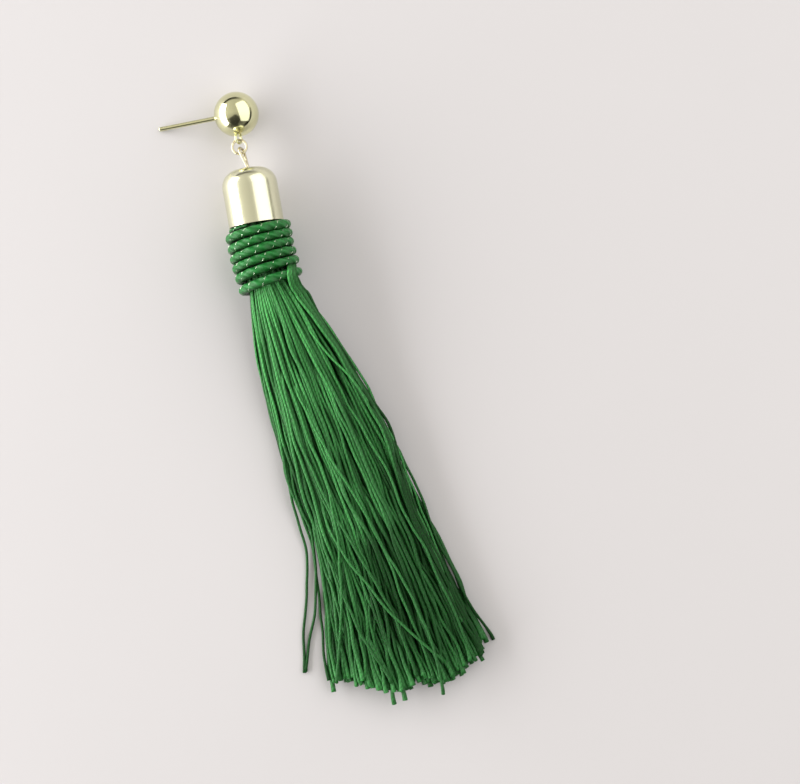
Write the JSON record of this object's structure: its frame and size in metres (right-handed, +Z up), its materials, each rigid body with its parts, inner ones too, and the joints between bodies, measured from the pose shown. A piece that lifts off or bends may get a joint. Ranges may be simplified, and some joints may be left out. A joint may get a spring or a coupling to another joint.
{
  "type": "tassel earring",
  "caption": "Drop earring lying flat: a ball stud with a post, linked to a metal bell cap that holds a long fanned thread tassel bound with wound cord.",
  "frame": {"origin": "middle of the earring's outline on the surface it lies on", "axes": "+Z up, +Y along the bell cap's axis towards the ball, +X to the right seen from above"},
  "size_m": [0.0416, 0.1124, 0.0119],
  "materials": {
    "plated_metal": "polished pale gold plating",
    "wound_cord": "satin cord",
    "threads": "silky twisted thread"
  },
  "bodies": {
    "root": {"ball_stud": "plated_metal", "jump_ring": "plated_metal", "eye_pin": "plated_metal", "bell_cap": "plated_metal", "cord_wrap": "wound_cord", "tassel": "threads"}
  },
  "joints": []
}
